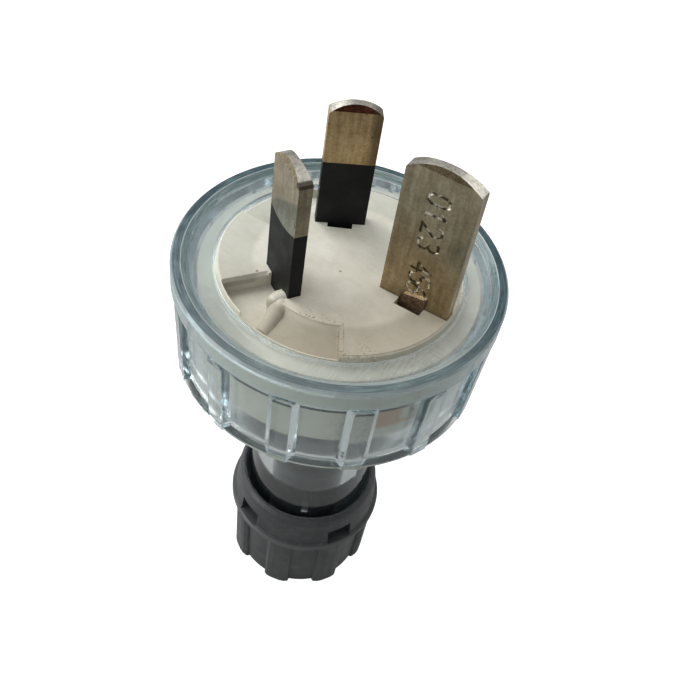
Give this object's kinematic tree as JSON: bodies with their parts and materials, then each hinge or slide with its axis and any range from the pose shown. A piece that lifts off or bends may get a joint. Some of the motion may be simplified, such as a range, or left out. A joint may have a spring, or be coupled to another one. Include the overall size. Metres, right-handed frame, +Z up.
{
  "type": "electrical plug",
  "caption": "Rewireable flat-pin mains plug with a clear ribbed body, white pin carrier, wide earth blade, half-insulated live blades and a grey cord gland.",
  "frame": {"origin": "centre of the gland nut's end face, at the bottom of the plug", "axes": "+Z up the plug's axis towards the pin tips; the earth blade stands on the +X side"},
  "size_m": [0.0414, 0.0414, 0.0833],
  "materials": {
    "clear_polycarbonate": "clear, faintly blue-grey, polished",
    "white_thermoset": "warm off-white, fine moulded surface",
    "nickel_plated_blade": "nickel plated brass, rubbed, with fine scratches",
    "black_insulation": "satin black",
    "terminal_brass": "plain brass",
    "zinc_plated_steel": "bright zinc",
    "clear_silicone": "translucent",
    "grey_nylon": "fine matt, slate grey",
    "natural_nylon": "natural",
    "dark_grey_nylon": "matt dark grey",
    "dark_rubber": "matt black"
  },
  "bodies": {
    "root": {"front_ring": "clear_polycarbonate", "rear_housing": "clear_polycarbonate", "pin_carrier": "white_thermoset", "carrier_back_plate": "white_thermoset", "earth_pin": "nickel_plated_blade", "active_pin": "nickel_plated_blade", "neutral_pin": "nickel_plated_blade", "active_sleeve": "black_insulation", "neutral_sleeve": "black_insulation", "earth_terminal": "terminal_brass", "active_terminal": "terminal_brass", "neutral_terminal": "terminal_brass", "terminal_screws": "zinc_plated_steel", "terminal_rivets": "terminal_brass", "carrier_screws": "zinc_plated_steel", "body_gasket": "clear_silicone", "gland_nut": "grey_nylon", "slip_washer": "natural_nylon", "cord_collet": "dark_grey_nylon", "cord_seal": "dark_rubber"}
  },
  "joints": []
}
